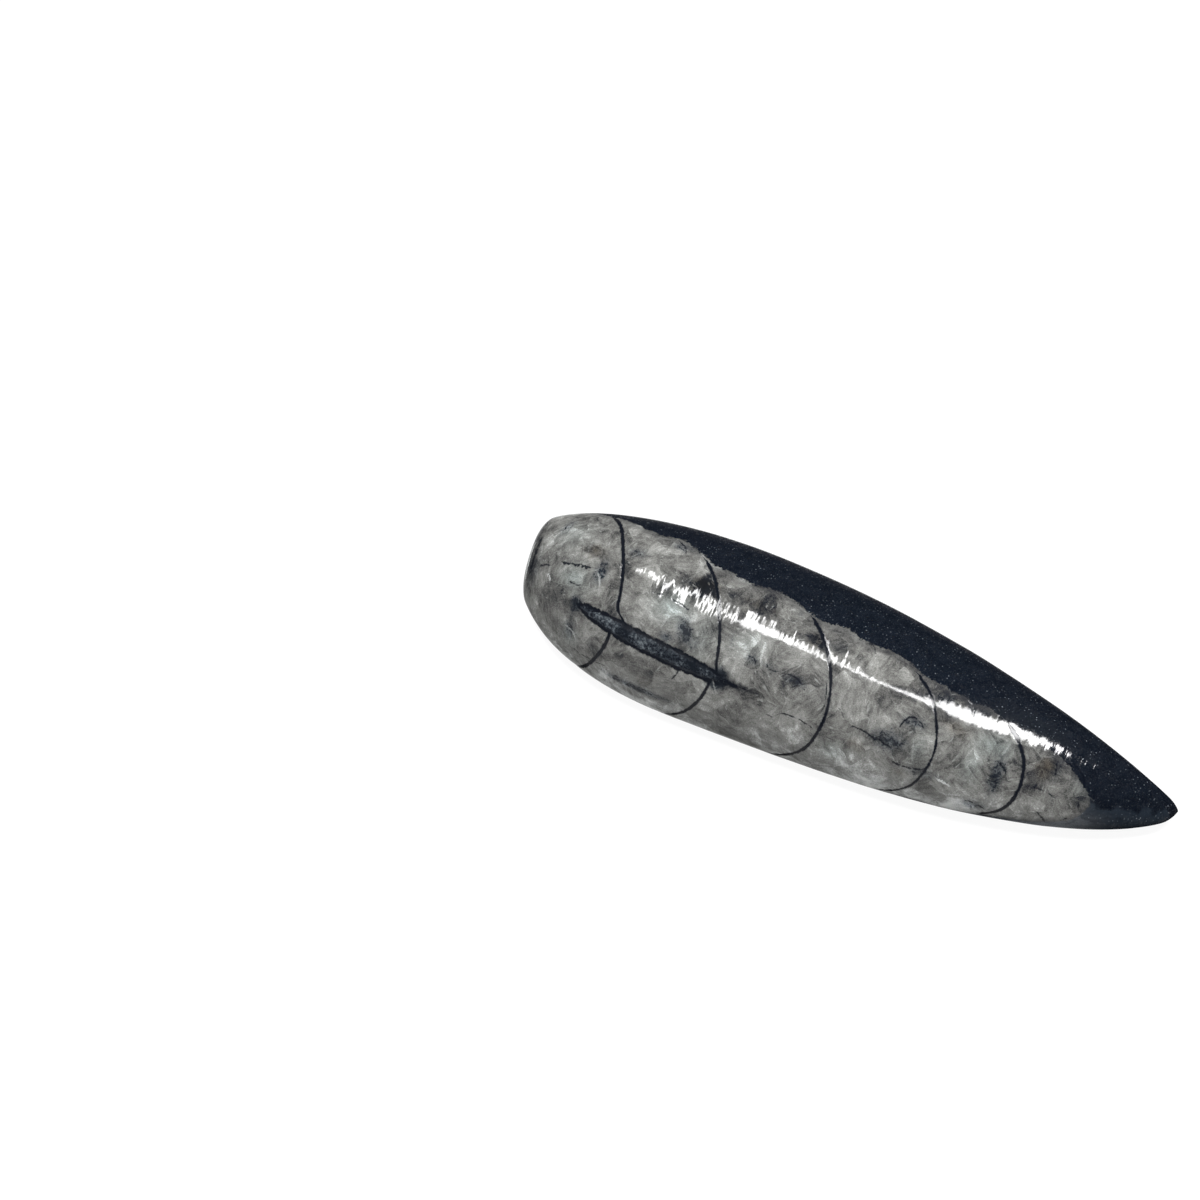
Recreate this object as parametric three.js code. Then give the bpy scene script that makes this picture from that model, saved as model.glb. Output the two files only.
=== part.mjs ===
import * as THREE from 'three';

// A polished orthoceras fossil: one torpedo-shaped stone that is blunt at one end, pointed at the
// other, and ground flat underneath so that it lies steady. Millimetres, +Z up. X runs along the
// stone to its tip, the side that shows most of the shell faces -Y, and the flat base lies at z = 0.

// Size of the stone
const LENGTH = 95;
const FRONT_HALF_WIDTH = 13.1; // widest line to the axis on the -Y side
const BACK_HALF_WIDTH = 13.9; // the same on the +Y side
const WIDEST_LINE = 5.2; // height of the widest line above the base
const WIDEST_LINE_AT_TIP = 2.9;
const TIP_SHIFT = 1.9; // how far the tip bends to the back, toward +Y
const CROWN = 13; // rise of the top above the widest line
const BELLY = 8.5; // drop of the rounded underside, before the base is ground flat

// Outline of each side, seen from above. The share of the length where it is widest comes first,
// then how square its shoulder is, and then the two powers that shape its taper to the tip.
const FRONT_OUTLINE = { widest: 0.3, shoulder: 2.15, fullness: 3.16, slenderness: 0.655 };
const BACK_OUTLINE = { widest: 0.315, shoulder: 2, fullness: 1.9, slenderness: 0.98 };
const TAPER_CUT = 0.992; // share of the whole taper that is left before the nose rounds it off
const NOSE = 0.018; // share of the taper that the rounded nose takes up

// Cross-section: the powers of the rounded top and of the steeper band below it
const TOP_ROUNDNESS = 1.9;
const BAND_ROUNDNESS = 2.3;

// Blunt end: the shoulder curve stops this share of the length early, which leaves a small flat
// facet with a rounded edge. The end leans to the back and sinks, and the facet's plane is turned
// and tipped.
const FACET_CUT = 0.02;
const EDGE_REACH = 0.018; // share of the length that the facet's rounded edge takes up
const EDGE_DEPTH = 0.27; // share of the half-width that it takes off
const END_REACH = 0.25; // share of the length over which the end leans and sinks
const END_LEAN = 3; // toward +Y
const END_SINK = 1.2;
const FACET_REACH = 0.12; // share of the length over which the sections turn into the facet plane
const FACET_TURN = -0.2; // change of x with y across the facet
const FACET_TIP = 0.14; // change of x with z across the facet
const FACET_HEIGHT = 8; // height at which the facet plane crosses the end of the length

// Mesh: rings of points along the stone, each with points over the top, down both bands and
// across the base
const RINGS = 68;
const RING_BUNCHING = 0.85; // 0 spaces the rings evenly, 1 crowds them toward both ends
const TOP_STEPS = 32;
const BAND_STEPS = 7;
const BASE_STEPS = 10;
const STEPS = TOP_STEPS + 2 * BAND_STEPS + BASE_STEPS;
const MAX_CREASE = THREE.MathUtils.degToRad(75);

function signedPower(value, power) {
  return Math.sign(value) * Math.abs(value) ** power;
}

// Fades from 1 at the blunt end to 0 where the reach runs out.
function nearBluntEnd(share, reach) {
  return Math.max(1 - share / reach, 0) ** 2;
}

// Half-width of one side at a share of the length, as a share of that side's full half-width.
function outlineAt(share, side) {
  if (share < side.widest) {
    const toEnd = (side.widest - share) / (side.widest + FACET_CUT);
    const shoulder = (1 - toEnd ** side.shoulder) ** (1 / side.shoulder);
    const intoEdge = Math.max(1 - share / EDGE_REACH, 0);
    return shoulder - EDGE_DEPTH * (1 - Math.sqrt(1 - intoEdge ** 2));
  }
  const toTip = (share - side.widest) / (1 - side.widest);
  const intoNose = Math.max((toTip - 1) / NOSE + 1, 0);
  const roundedNose = Math.sqrt(Math.max(1 - intoNose ** 2, 0));
  const taper = (1 - (TAPER_CUT * toTip) ** side.fullness) ** side.slenderness;
  return taper * roundedNose;
}

// Angles of a ring's points, counted from the -Y side over the top. The edge of the ground base
// always falls on a point, at the crease angle below the widest line.
function ringAngles(lineHeight, bellyDepth) {
  const groundShare = Math.min(lineHeight / bellyDepth, 1);
  const crease = Math.min(Math.asin(groundShare ** (BAND_ROUNDNESS / 2)), MAX_CREASE);
  const angles = [];
  const addRun = (from, to, steps) => {
    for (let step = 0; step < steps; step += 1) {
      angles.push(from + ((to - from) * step) / steps);
    }
  };
  addRun(0, Math.PI, TOP_STEPS);
  addRun(Math.PI, Math.PI + crease, BAND_STEPS);
  addRun(Math.PI + crease, 2 * Math.PI - crease, BASE_STEPS);
  addRun(2 * Math.PI - crease, 2 * Math.PI, BAND_STEPS);
  return angles;
}

// Points of the ring at a share of the length, from 0 at the facet to 1 at the tip.
function ringPoints(share) {
  const front = outlineAt(share, FRONT_OUTLINE);
  const back = outlineAt(share, BACK_OUTLINE);
  const middle = (front + back) / 2;
  const towardTip = Math.max((share - 0.6) / 0.4, 0) ** 2;
  const shift = TIP_SHIFT * towardTip + END_LEAN * nearBluntEnd(share, END_REACH);
  const sink = END_SINK * nearBluntEnd(share, END_REACH);
  const turn = nearBluntEnd(share, FACET_REACH);
  const lineHeight = THREE.MathUtils.lerp(WIDEST_LINE, WIDEST_LINE_AT_TIP, towardTip);

  return ringAngles(lineHeight - sink, BELLY * middle).map((angle) => {
    const roundness = Math.sin(angle) >= 0 ? TOP_ROUNDNESS : BAND_ROUNDNESS;
    const across = -signedPower(Math.cos(angle), 2 / roundness);
    const up = signedPower(Math.sin(angle), 2 / roundness);
    const y = across * (across < 0 ? FRONT_HALF_WIDTH * front : BACK_HALF_WIDTH * back);
    const z = lineHeight + up * middle * (up < 0 ? BELLY : CROWN);
    const x = LENGTH * share + turn * (FACET_TURN * y + FACET_TIP * (z - FACET_HEIGHT));
    return new THREE.Vector3(x, y + shift, Math.max(z - sink, 0));
  });
}

// The closed skin of the stone: the facet, the rings and the tip.
function stoneGeometry() {
  const rings = [];
  for (let ring = 0; ring < RINGS; ring += 1) {
    const even = ring / RINGS;
    const bunched = (1 - Math.cos(Math.PI * even)) / 2;
    rings.push(ringPoints(THREE.MathUtils.lerp(even, bunched, RING_BUNCHING)));
  }
  const facetCentre = new THREE.Vector3();
  rings[0].forEach((point) => facetCentre.addScaledVector(point, 1 / STEPS));
  const tip = new THREE.Vector3(LENGTH, TIP_SHIFT, WIDEST_LINE_AT_TIP);
  const points = [...rings.flat(), facetCentre, tip];
  const facetIndex = points.length - 2;
  const tipIndex = points.length - 1;

  const triangles = [];
  for (let step = 0; step < STEPS; step += 1) {
    const next = (step + 1) % STEPS;
    triangles.push(facetIndex, step, next);
    for (let ring = 0; ring < RINGS - 1; ring += 1) {
      const here = ring * STEPS;
      const ahead = here + STEPS;
      triangles.push(here + step, ahead + next, here + next);
      triangles.push(here + step, ahead + step, ahead + next);
    }
    const last = (RINGS - 1) * STEPS;
    triangles.push(last + step, tipIndex, last + next);
  }

  const geometry = new THREE.BufferGeometry().setFromPoints(points);
  geometry.setIndex(triangles);
  geometry.computeBoundingBox();
  const middle = geometry.boundingBox.getCenter(new THREE.Vector3());
  geometry.translate(-middle.x, -middle.y, 0);
  geometry.computeVertexNormals();
  return geometry;
}

const polishedStone = new THREE.MeshStandardMaterial({
  color: 0x76787a,
  roughness: 0.2,
  metalness: 0,
});

const stone = new THREE.Mesh(stoneGeometry(), polishedStone);
stone.name = 'fossil_stone';

const fossil = new THREE.Group();
fossil.add(stone);

export default fossil;
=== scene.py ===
"""A polished orthoceras fossil on a pale floor. The stone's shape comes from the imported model.

Lengths are in metres where Blender needs them. Everything about the shell inside the stone is in
millimetres, in the same frame: X runs from the blunt end to the tip, -Y is the front, Z is up.
A place on the skin is given as its run along X and its turn round the stone in degrees, from 0 at
the front over 90 at the top to 180 at the back.
"""

import math

import bmesh
import bpy
import numpy as np
from mathutils import Euler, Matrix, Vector, noise


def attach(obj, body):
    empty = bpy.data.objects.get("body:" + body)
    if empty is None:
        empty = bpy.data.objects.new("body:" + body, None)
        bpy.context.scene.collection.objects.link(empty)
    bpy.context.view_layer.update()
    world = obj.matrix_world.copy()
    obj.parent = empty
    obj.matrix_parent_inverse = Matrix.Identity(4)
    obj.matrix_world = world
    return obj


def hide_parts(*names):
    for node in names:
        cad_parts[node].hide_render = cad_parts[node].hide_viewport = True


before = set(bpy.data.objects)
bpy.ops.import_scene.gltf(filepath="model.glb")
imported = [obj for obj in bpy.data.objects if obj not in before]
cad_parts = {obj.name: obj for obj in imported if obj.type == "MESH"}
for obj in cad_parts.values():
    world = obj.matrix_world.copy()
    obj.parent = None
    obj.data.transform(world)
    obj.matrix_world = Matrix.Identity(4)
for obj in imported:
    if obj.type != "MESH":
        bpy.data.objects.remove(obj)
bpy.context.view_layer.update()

MM = 0.001

# Camera
VIEW_AZIMUTH = math.radians(26.3)
VIEW_ELEVATION = math.radians(50)
VIEW_DISTANCE = 0.45
VIEW_TARGET = Vector((-0.03666, 0.00253, 0))
LENS = 97.4

# Light: a long thin lamp over the stone, bent in several places, and soft light all round.
# Each of the lamp's corners is x and y, and each straight run between them has its own width.
# A width of 0 leaves a gap.
LAMP_CORNERS = (
    (-0.28, 0.07), (-0.125, -0.044), (-0.088, -0.05), (-0.06, -0.098), (-0.052, -0.0973),
    (-0.039, -0.096), (0.03, -0.09), (0.08, -0.082), (0.2, 0.048), (0.255, 0.083),
)
LAMP_WIDTHS = (0.03, 0.15, 0.06, 0.02, 0, 0.013, 0.028, 0.072, 0.045)
LAMP_HEIGHT = 0.4
LAMP_RADIANCE = 70
FILL_PLACE = Vector((-0.5, -1.1, 1.2))
FILL_SIZE = 1.3
FILL_RADIANCE = 0.8
SKY_COLOUR = (0.95, 0.98, 1.0)
SKY_RADIANCE = 0.42
HORIZON_RADIANCE = 0.95
HORIZON_HEIGHT = 0.08  # the sine of the angle above which the sky has its own radiance

# The floor glows, so that it stays white
FLOOR_SIZE = 6
FLOOR_COLOUR = (0.05, 0.05, 0.05)
FLOOR_GLOW = 0.93
FLOOR_ROUGHNESS = 0.9
FLOOR_GLOSS = 0.1

# The stone's mesh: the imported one, merged, rounded once more and left a little uneven
MERGE_DISTANCE = 1e-6
LARGEST_JOIN_ANGLE = math.radians(30)
LARGEST_JOIN_SKEW = math.radians(60)
CREASE_FROM = math.radians(25)
CREASE = 0.55
SUBDIVISIONS = 2
UNEVENNESS = ((0.07, 11, 11), (0.02, 4, 12))  # height and wavelength in mm, seed
GROOVE_DEPTH = 0.04  # along the septa and the siphuncle's outline
GROOVE_WIDTH = 0.35
BASE_FLAT_TO = 0.02  # the relief begins at this height above the floor
BASE_RELIEF_FROM = 1.5  # and has its full strength from here

# The shell: a cone whose chambers end in domes that bulge toward the stone's tip
MIDDLE_HEIGHT = 5  # turns are measured round a line at this height
SHELL_POINT = np.array((-0.48, -11.2, 11.6))
SHELL_DIRECTION = np.array((1, -0.052, -0.015))
SHELL_RADIUS = 12.8  # across, where the axis passes x = 0
SHELL_TAPER = 0.093  # of a millimetre less for each millimetre toward the tip
SHELL_FLATTENING = 1.245  # how many times wider than high it is
SHELL_TWIST = 0.129  # turns that oval a little round the axis
SHELL_END = 42.6  # how far along the axis the last chamber's dome reaches
SHELL_WAVE_HEIGHT = 0.22
SHELL_WAVE_LENGTH = 6
CHAMBER_PINCH = 0.03  # of the radius, where a chamber begins
CHAMBER_BULGE = 0.075  # and how far it swells from there
CHAMBER_SKEW = 0.8  # below 1, the widest place is nearer to the chamber's beginning
DOME_DEPTH = 0.787  # of the shell's radius
SEPTA = (-28.2, -12.8, 3.1, 18.0, 30.6)  # how far along the axis each dome reaches
SEPTUM_WIDTHS = (0.53, 0.42, 0.44, 0.38, 0.5)
SEPTUM_ENDS = (0.32, 0.08)  # of its dome's depth, where a septum's line thins out to nothing
SEPTUM_NARROWING = 40  # how many times its distance grows by there, which hides it

# The siphuncle: a tube along the shell that the polished skin lays open, and its tail.
# Run, turn and half the width.
TUBE = (
    (-36, 39, -0.9), (-34.6, 39, 0), (-33.4, 38.5, 0.55), (-30.5, 37, 0.9), (-26, 35, 1.15),
    (-18, 32, 1.12), (-14.5, 30.8, 0.9), (-12.6, 30, 0.55), (-9, 30, 0.4), (-5.5, 30, 0.15),
    (-4, 30, -0.3),
)
NO_TUBE = -2  # the half width beyond both ends
TUBE_WALL = 0.27  # half the width of the black wall
TUBE_END = (-12.5, -11.0)  # the runs over which the tube gives way to its tail
TAIL_START = (-13.5, -12.0)
TAIL_END = (-9.0, -4.0)
NECK_RUN = -27  # where the fill is darkest
NECK_BENDS = (1.5, 0.4, 0, 0, 0)  # how far each septum turns toward the tip beside the tube
NECK_REACH = 0.9  # how far from the tube it does so
NECK_SIDE = (-0.2, 0.6)  # above the tube's middle, where the turn begins and is complete

# Curves over the skin, as pairs of run and turn.
# Where the black limestone takes over from the shell below, near the tip:
LOWER_EDGE = (
    (-50, -140), (0, -90), (10, -50), (18, -26), (24, -14), (28, -10), (31.5, -8), (34.7, -4),
    (36.1, -1), (36.9, 4), (37.5, 11), (38, 20), (38.6, 42), (50, 60),
)
# and where it takes over from above, round the shell's end:
UPPER_EDGE = (
    (-50, 300), (14, 160), (15.6, 80), (16.3, 75), (18.3, 77.5), (19.9, 73), (21.7, 77),
    (24, 71), (29.3, 71), (31.3, 65), (32.5, 62), (33.7, 57), (34.8, 51), (36.2, 40),
    (37.3, 30), (38.1, 14),
)
# The upper edge of the band along the front of the tip where a reflection of the floor is painted
# onto the black limestone:
FLOOR_REFLECTION_EDGE = (
    (0, -30), (30, 4), (34, 12), (36, 20), (37.5, 24), (39, 20), (41.5, 16), (44.9, 2), (47, -50),
)
# Its lightest strip, in mm below that edge: where it begins, is complete, fades, and has ended
FLOOR_REFLECTION_LIGHTEST = (0.4, 4.0, 5.0, 8.0)

# Polishing marks: the heights of broad ripples and of a fine hatch, as pairs of run and height
RIPPLES = (
    (-48, 0.03), (-30, 0.05), (-27, 0.12), (-20, 0.13), (-17, 0.2), (-14.5, 0.17), (-12, 0.03),
    (-4, 0.015), (-1, 0.02), (2, 0.06), (5, 0.1), (7, 0.05), (9, 0.02), (26, 0.03), (30, 0.06),
    (48, 0.05),
)
HATCH = (
    (-48, 0.01), (-28, 0.03), (-18, 0.05), (-12, 0.03), (-3, 0.018), (1, 0.02), (9, 0.01),
    (27, 0.01), (31, 0.04), (48, 0.04),
)

# Cloudy patches: run and turn of the middle, reach along and round the stone, strength.
# Where the shell's skin lies further out, or further in below 0, in mm:
SKIN_SHIFTS = ((-22.5, 101, 2.5, 2.0, -0.45), (-6, 90, 2.2, 1.8, -0.45), (1.5, 90, 2.6, 2.2, 0.8))

# Where the black limestone has taken a better polish:
POLISHED_PATCHES = ((25, 70, 5, 3, 1.3), (30.5, 74, 2.6, 2.4, 0.9), (35.5, 75, 3, 1.6, 0.45))

# Broad lighter and darker areas of the calcite, mostly its own tone; the lighter ones low on the
# front flank, at turns from -8 to -5, are painted light:
TONES_AND_PAINTED_LIGHT = (
    (-45.5, 35, 2.2, 9, -0.42), (-36, -7, 9, 4.5, 0.3), (-38, 76, 3, 2.2, -0.14),
    (-36.5, 97, 3, 2.5, 0.1), (-24, 54, 4.5, 2.6, 0.3), (-19, 76, 4, 2.4, -0.42),
    (-33, 52, 2.5, 3, 0.14), (-26, 74, 2, 2, 0.14), (-9, 77, 4, 2.5, -0.32),
    (-5, 50, 6, 3, -0.03), (-12, 18, 4, 3, -0.04), (-15, 35, 2.5, 3, 0.1), (2, 54, 4, 5, -0.16),
    (14, 56, 8, 4, -0.22), (22, 51, 5, 3, -0.12), (13, 80, 4, 1.6, -0.12), (19, 80, 4, 2, -0.4),
    (11, -8, 18, 3.5, 0.54), (-20, -8, 10, 3.5, 0.56), (24, -6, 4, 3, 0.2), (33, 50, 4, 3, -0.28),
    (35.8, 38, 2, 3, -0.22), (29, 12, 4, 3, -0.14), (31, -5, 4, 2.5, 0.15),
    (31.6, 8, 1.6, 1.8, -0.2), (-41.5, 57, 2, 2.5, -0.14), (19, 36, 4, 2.5, 0.08),
    (11, 38, 3, 2.5, 0.1), (9, 70, 2.5, 2, 0.08), (-14, 50, 3, 3, -0.1), (-19, 3, 5, 2.5, -0.06),
)
TONE_SHIFT = -0.02  # of all the calcite
# Painted shade: the blunt end's facet is darkened by which way its skin faces
END_FACE_PAINTED_SHADE = -0.2  # of the blunt end's facet

# Dark stains, clear brown crystals and pale clouds:
DARK_PATCHES = (
    (-19.2, 52, 1.1, 1.3, 0.85), (-21, 42, 1.1, 0.9, 1.1), (-18.4, 46, 1.1, 1.6, 0.85),
    (-16.9, 44, 1, 1.2, 0.5), (-29.5, 86, 1.7, 1, 0.8), (-24.3, 101, 1.8, 1.1, 0.9),
    (-33, 66, 1.1, 2.0, 1.1), (-8.9, 48, 1.1, 1, 0.8), (-6.2, 47, 1.3, 0.7, 0.7),
    (-2.6, 45, 1.8, 0.8, 1.2), (-5.5, 84, 1, 0.7, 0.5), (1.2, 73, 1.2, 1, 0.8),
    (11.5, 30, 2.9, 1.6, 1.1), (14, 46, 1.9, 1.1, 0.9), (25.8, 28, 1, 3.1, 1.2),
    (-41.5, 108, 1.2, 2.2, 0.7), (-34.9, 20, 1, 1.8, 0.9), (-12.6, 30, 1.4, 1.4, 2.7),
    (-43.8, 48, 1.3, 2.6, 0.8), (-23.5, 3, 5.4, 0.7, 1.15), (-34.9, 39, 1.1, 1.2, 1.5),
    (32.6, 56, 0.8, 2.9, 0.9), (17, 16, 3.1, 1, 0.7), (19.5, 80, 1.9, 1.2, 0.8),
    (23.8, 1, 1.9, 1, 0.9), (35.5, 55, 1.2, 1.4, 1.1), (-30.7, 18, 1.2, 0.8, 0.7),
    (1.6, 42, 0.7, 2.2, 0.5), (-12.3, 55, 0.6, 1.7, 0.5),
)
BROWN_PATCHES = (
    (-35.4, 81, 2.4, 1.8, 0.55), (-18.6, 78, 2.4, 2.2, 0.7), (-1.8, 72, 1.6, 1.4, 0.6),
    (-10.5, 78, 3.5, 2.0, 0.5), (7.5, 20, 2.5, 1.5, 0.5), (31.2, 46, 1.8, 2.2, 0.7),
    (-22, 12, 3.0, 1.5, 0.4), (19, 52, 3.5, 1.6, 0.5), (14, 12, 2.5, 1.5, 0.4),
)
PALE_PATCHES = (
    (-36.5, 56, 2.4, 1.8, 0.8), (-21.5, 60, 2.6, 2.2, 0.9), (-10, 55, 2.5, 2.0, 0.4),
    (24.5, 50, 2.3, 1.5, 0.9), (22.5, 30, 1.4, 2.2, 0.6), (37, 33, 1.8, 1.5, 0.7),
    (-35, 15, 1.4, 1.6, 0.6), (4.5, 12, 2.0, 1.4, 0.5), (-39.5, 95, 2.5, 2.5, 0.4),
    (15.5, 30, 1.0, 2.0, 0.5), (-16, 50, 1.5, 3.0, 0.5),
)

# Single crystals with straight edges: how much lighter or darker, then run and turn of each corner
BLADES = (
    (-0.26, (-37, 89), (-33.8, 82), (-33.4, 74), (-37.1, 79)),
    (-0.34, (-20.4, 69), (-19, 91), (-16.4, 73)),
    (-0.4, (-3.6, 73), (-1.3, 77), (-0.3, 67), (-2.4, 69)),
    (0.16, (4.2, 75), (6.9, 81), (9.3, 72), (7.8, 56)),
    (0.14, (-26.5, 62), (-23, 69), (-23.5, 53)), (0.12, (-12, 54), (-9.2, 64), (-8.4, 43)),
    (-0.12, (-7.6, 53), (-4.5, 60), (-3.5, 38)), (0.14, (8.2, 97), (11.4, 93), (9.3, 78)),
    (0.14, (8, 50), (11.4, 42), (8.6, 28)), (-0.1, (-40, 70), (-37, 76), (-36, 68)),
    (0.12, (-33, 108), (-28.6, 104), (-31, 92)), (-0.1, (-28, 22), (-22, 26), (-24, 10)),
    (0.1, (-21, 26), (-17, 29), (-18, 12)), (0.12, (-4, 18), (0, 22), (-1, 4)),
    (0.12, (19, 58), (22.5, 60), (21, 44)), (-0.12, (5, 20), (9, 24), (9.5, 10)),
    (0.14, (26.4, 40), (29.4, 30), (27.6, 22)), (-0.12, (13.5, 66), (16.5, 70), (16, 54)),
)
BLADE_EDGE = (-0.1, 0.2)  # mm inside a blade's edge, where its tone begins and is complete

# Dark cracks: start run and turn, end run and turn, bend and width
CRACKS = (
    (-44.8, 99, -44.5, 50, 0, 0.5), (-39, 66, -35, 67, 0, 0.44),
    (-37.3, 54, -35.2, 52.5, -0.2, 0.2), (-39.2, 40, -37.7, 28, 0.3, 0.12),
    (-35, 23, -34.9, 16, 0.5, 0.2), (-34.9, 16, -33.8, 15.5, 0, 0.2),
    (-44.5, 40, -41.5, 61, 0.6, 0.3), (-32, 18, -30.5, 13, 0, 0.14),
    (-41.6, 102, -41.3, 114, 0.3, 0.14), (-38.5, 126, -37, 111, -0.4, 0.16),
    (-30, 87, -28.7, 84, 0.2, 0.2), (-25, 105, -23.4, 97, 0.2, 0.2),
    # The line from run -24.8 to -18.8 is not a crack but painted shade along the lamp's highlight
    (-29.5, 79, -27.5, 86, 0.3, 0.14), (-24.8, 64, -18.8, 60.5, 0.35, 0.22),
    (-26.8, 2, -20, 4, 0.3, 0.1), (-33.5, 6, -28, 9, -0.2, 0.14), (-18, 27, -18.5, 20, 0.1, 0.24),
    (-9.4, 49, -8.2, 46, 0.3, 0.2), (-6.8, 48, -5.3, 46, -0.3, 0.2),
    (-3.7, 47, -1.2, 43, 0.3, 0.26), (-3, 24, 1.2, 22, 0.3, 0.24), (-5, 20, -3, 21.5, -0.2, 0.14),
    (1.5, 49, 2.1, 34, 0.2, 0.16), (6.2, 31, 9.8, 28, 0.3, 0.28), (9, 34, 12.5, 27, -0.5, 0.26),
    (12.8, 18, 17.2, 20, -0.4, 0.28), (12.3, 41, 15, 46, 1.1, 0.28),
    (10.5, 27, 13.5, 31, 0.4, 0.16), (3, 40, 5, 35, 0.2, 0.12), (25.3, 39, 26.8, 33, 0.2, 0.38),
    (27, 27, 30, 22, 0.2, 0.12), (30.5, 27, 34.2, 18, 0.3, 0.16), (35.2, -1, 36.5, 18, -0.5, 0.2),
    (32, 4, 33, -4, 0.1, 0.26), (34.3, 61, 36.4, 42, 0.3, 0.26), (23, 4, 25.5, -1, 0.2, 0.22),
    (31.6, 62, 32.6, 42, 0.2, 0.2), (19, 74, 20.5, 66, 0.3, 0.14), (16, 90, 17, 78, 0.2, 0.2),
    (22.5, 82, 23.5, 70, 0.2, 0.16), (4, 86, 6, 76, 0.3, 0.12),
)

# Pale veins and flecks, described like the cracks
VEINS = (
    (-46, 104, -45.4, 20, 0, 0.55), (-20.5, 68, -17, 62, 0.1, 0.1), (14.5, 36, 15.1, 23, 0, 0.2),
    (7.8, 50, 9.5, 31, 0.3, 0.12), (11.7, 57, 11.1, 40, 0.1, 0.1), (18.9, 15, 20.4, 13, 0, 0.5),
    (26.9, 25, 27.4, 8, 0.1, 0.16), (16, 26, 19, 21, 0.2, 0.12), (-44, 87, -43.6, 76, 0, 0.24),
    (-40.9, 51, -40.2, 47, 0.1, 0.4), (-35.5, 20, -33.6, 15, 0.3, 0.3),
    (-36, 95, -33, 82, 0.2, 0.1), (-33.2, 64, -32.4, 57, 0.1, 0.3),
    (-24, 48, -21, 58, -0.3, 0.12), (-12, 38, -9.5, 30, 0.3, 0.12), (-2.2, 60, 0.5, 52, 0.2, 0.1),
    (-13, 27, -12.4, 22, 0, 0.26), (24, 47, 22, 38, 0.2, 0.12), (23.6, 7, 24.4, 6, 0, 0.3),
    (-6, 86, -4, 79, 0.2, 0.1), (8.5, 84, 9.3, 74, 0.1, 0.12), (36.6, 28, 38, 24, 0.2, 0.14),
)
FAR = 9.0  # mm, when nothing is near
LINE_ENDS = (-0.4, 0.7)  # mm past its end, where a crack or vein narrows and where it is gone
LINE_REACH = (1.2, 2)  # mm beside it, where its width begins to be forgotten and where it is

# Colours of the limestone
BLACK = (0.0014, 0.0021, 0.0038)
MOTTLE = (0.0024, 0.0034, 0.0056)
GRIT = (0.0105, 0.0128, 0.016)
SPECK = (0.09, 0.1, 0.112)
# Painted reflection of the floor in the band along the lower front of the tip: at the tip, beside
# the shell, and in its lightest strip low down
TIP_FLOOR_REFLECTION = (0.0062, 0.0088, 0.0125)
FLOOR_REFLECTION_BY_SHELL = (0.017, 0.02, 0.0235)
FLOOR_REFLECTION_LOW = (0.1, 0.105, 0.113)
# Pale specks: mm from one to the next, then as shares of 1: radius, how many are left out, strength
SPECKS = ((0.42, 0.17, 0.35, 0.6), (0.9, 0.1, 0.5, 0.6), (3.8, 0.045, 0.5, 0.8))

# Colours of the calcite, from its darkest tone to its lightest, and of what lies in it
CALCITE_STOPS = (
    (0.0, (0.004, 0.005, 0.007)),
    (0.2, (0.028, 0.0278, 0.0268)),
    (0.4, (0.066, 0.0658, 0.0625)),
    (0.6, (0.11, 0.1105, 0.105)),
    (0.8, (0.225, 0.23, 0.225)),
    (1.0, (0.36, 0.365, 0.355)),
)
CALCITE_RANGE = 1.25  # the tone that the last stop stands for
THIN_CALCITE = (0.02, 0.02, 0.021)
STREAK = (0.2, 0.206, 0.2)
SEAM = (0.25, 0.26, 0.25)
VEIN = (0.26, 0.27, 0.265)
CRACK_HAZE = (0.01, 0.011, 0.014)
STAIN_CORE = (0.0035, 0.0048, 0.007)
PALE_TINT = (0.93, 1.03, 1.04)
BROWN_TINT = (0.5, 0.42, 0.33)
STAIN_TINT = (0.32, 0.36, 0.42)
SIPHUNCLE_STOPS = (
    (0.4, (0.002, 0.003, 0.005)),
    (0.53, (0.011, 0.0135, 0.017)),
    (0.68, (0.058, 0.066, 0.072)),
)

# Crystals in the calcite, in mm, and the axis and angle over which their grain is turned
CRYSTAL_SIZE = 3.4
SMALL_CRYSTAL_SIZE = 1.5
GRAIN_AXIS = (0.2, -0.6, 0.77)
GRAIN_TURN = 6.3

# Gloss, as the shader's specular level
CALCITE_GLOSS = 0.2
BLACK_GLOSS = 0.005
POLISHED_GLOSS = 0.2
SPECK_GLOSS = 0.35
SLANTED_GLOSS = 0.02  # what is left of the full gloss where the skin is seen at a slant
LINE_DULLING = 0.3  # what a black line takes away of it
PLAIN_GLOSS = 0.2  # what stays where the gloss can't vary over the stone
ROUGHNESS = (0.06, 0.12)

# Relief in the material, in mm
LINE_HOLLOW = -0.012
FINE_GRAIN = 0.002


def unit(vector):
    return vector / np.linalg.norm(vector)


def smooth_step(value, low, high):
    """From 0 at low to 1 at high, whichever of the two is larger."""
    share = np.clip((value - low) / (high - low), 0, 1)
    return share * share * (3 - 2 * share)


def noise_at(points, wavelength, seed):
    """Smooth noise from about -1 to 1. The points and the wavelength are in millimetres."""
    shift = Vector((17.3, 5.1, 9.7)) * seed
    return np.array([noise.noise(Vector(p) / wavelength + shift) for p in points])


def curve_at(run, curve):
    """The value at each run of a curve that is given as pairs of run and value."""
    return np.interp(run, *np.transpose(curve))


# ---------------------------------------------------------------- camera, floor and light


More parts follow.
